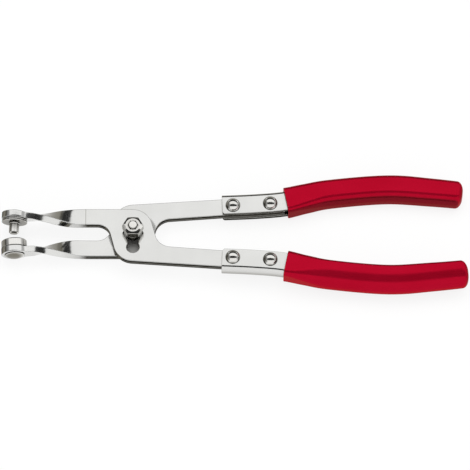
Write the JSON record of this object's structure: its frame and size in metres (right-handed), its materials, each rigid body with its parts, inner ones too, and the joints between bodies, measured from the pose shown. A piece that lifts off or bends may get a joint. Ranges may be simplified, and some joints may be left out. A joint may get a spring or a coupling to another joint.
{
  "type": "hose clamp pliers",
  "caption": "Flat nickel-plated pliers with a slip joint, twisted jaws ending in a swivelling pin and socket, and red vinyl grips, for squeezing spring hose clamps.",
  "frame": {"origin": "on the pivot axis, at the flat underside of the pivot bolt's head", "axes": "+X along the tool to the handles, +Y to the upper jaw (the one with the pin), +Z along the pivot axis to the nut; the tool lies flat"},
  "size_m": [0.2501, 0.07, 0.0214],
  "materials": {
    "satin_nickel": "satin nickel plate on stamped steel, with faint scratches",
    "bright_nickel": "bright nickel plate",
    "red_vinyl": "dipped red vinyl, soft gloss"
  },
  "bodies": {
    "rear_lever": {"rear_lever_plate": "satin_nickel", "rear_handle_channel": "satin_nickel", "rear_rivet_front": "bright_nickel", "rear_rivet_back": "bright_nickel", "rear_grip": "red_vinyl", "pivot_bolt": "bright_nickel", "pivot_nut": "bright_nickel"},
    "washer": {"pivot_washer": "bright_nickel"},
    "front_lever": {"front_lever_plate": "satin_nickel", "front_handle_channel": "satin_nickel", "front_rivet_front": "bright_nickel", "front_rivet_back": "bright_nickel", "front_grip": "red_vinyl"},
    "pin_tip": {"tip_pin": "bright_nickel", "tip_flange": "bright_nickel", "tip_washer": "bright_nickel"},
    "cup_tip": {"tip_cup": "bright_nickel", "tip_cup_rivet": "bright_nickel"}
  },
  "joints": [
    {"name": "pivot", "type": "hinge", "parent": "rear_lever", "child": "washer", "pos_m": [0, 0, 0], "axis": [0, 0, 1], "range_deg": [-40, 6.2]},
    {"name": "slip", "type": "slide", "parent": "washer", "child": "front_lever", "axis": [0, 1, 0], "range_m": [0, 0.0095]},
    {"name": "pin_swivel", "type": "hinge", "parent": "front_lever", "child": "pin_tip", "pos_m": [-0.0634, 0.01003, 0.00825], "axis": [0.0531, 0.9802, 0.1908], "continuous": true},
    {"name": "cup_swivel", "type": "hinge", "parent": "rear_lever", "child": "cup_tip", "pos_m": [-0.0634, -0.01003, 0.0059], "axis": [-0.0536, 0.9888, 0.1392], "continuous": true}
  ]
}
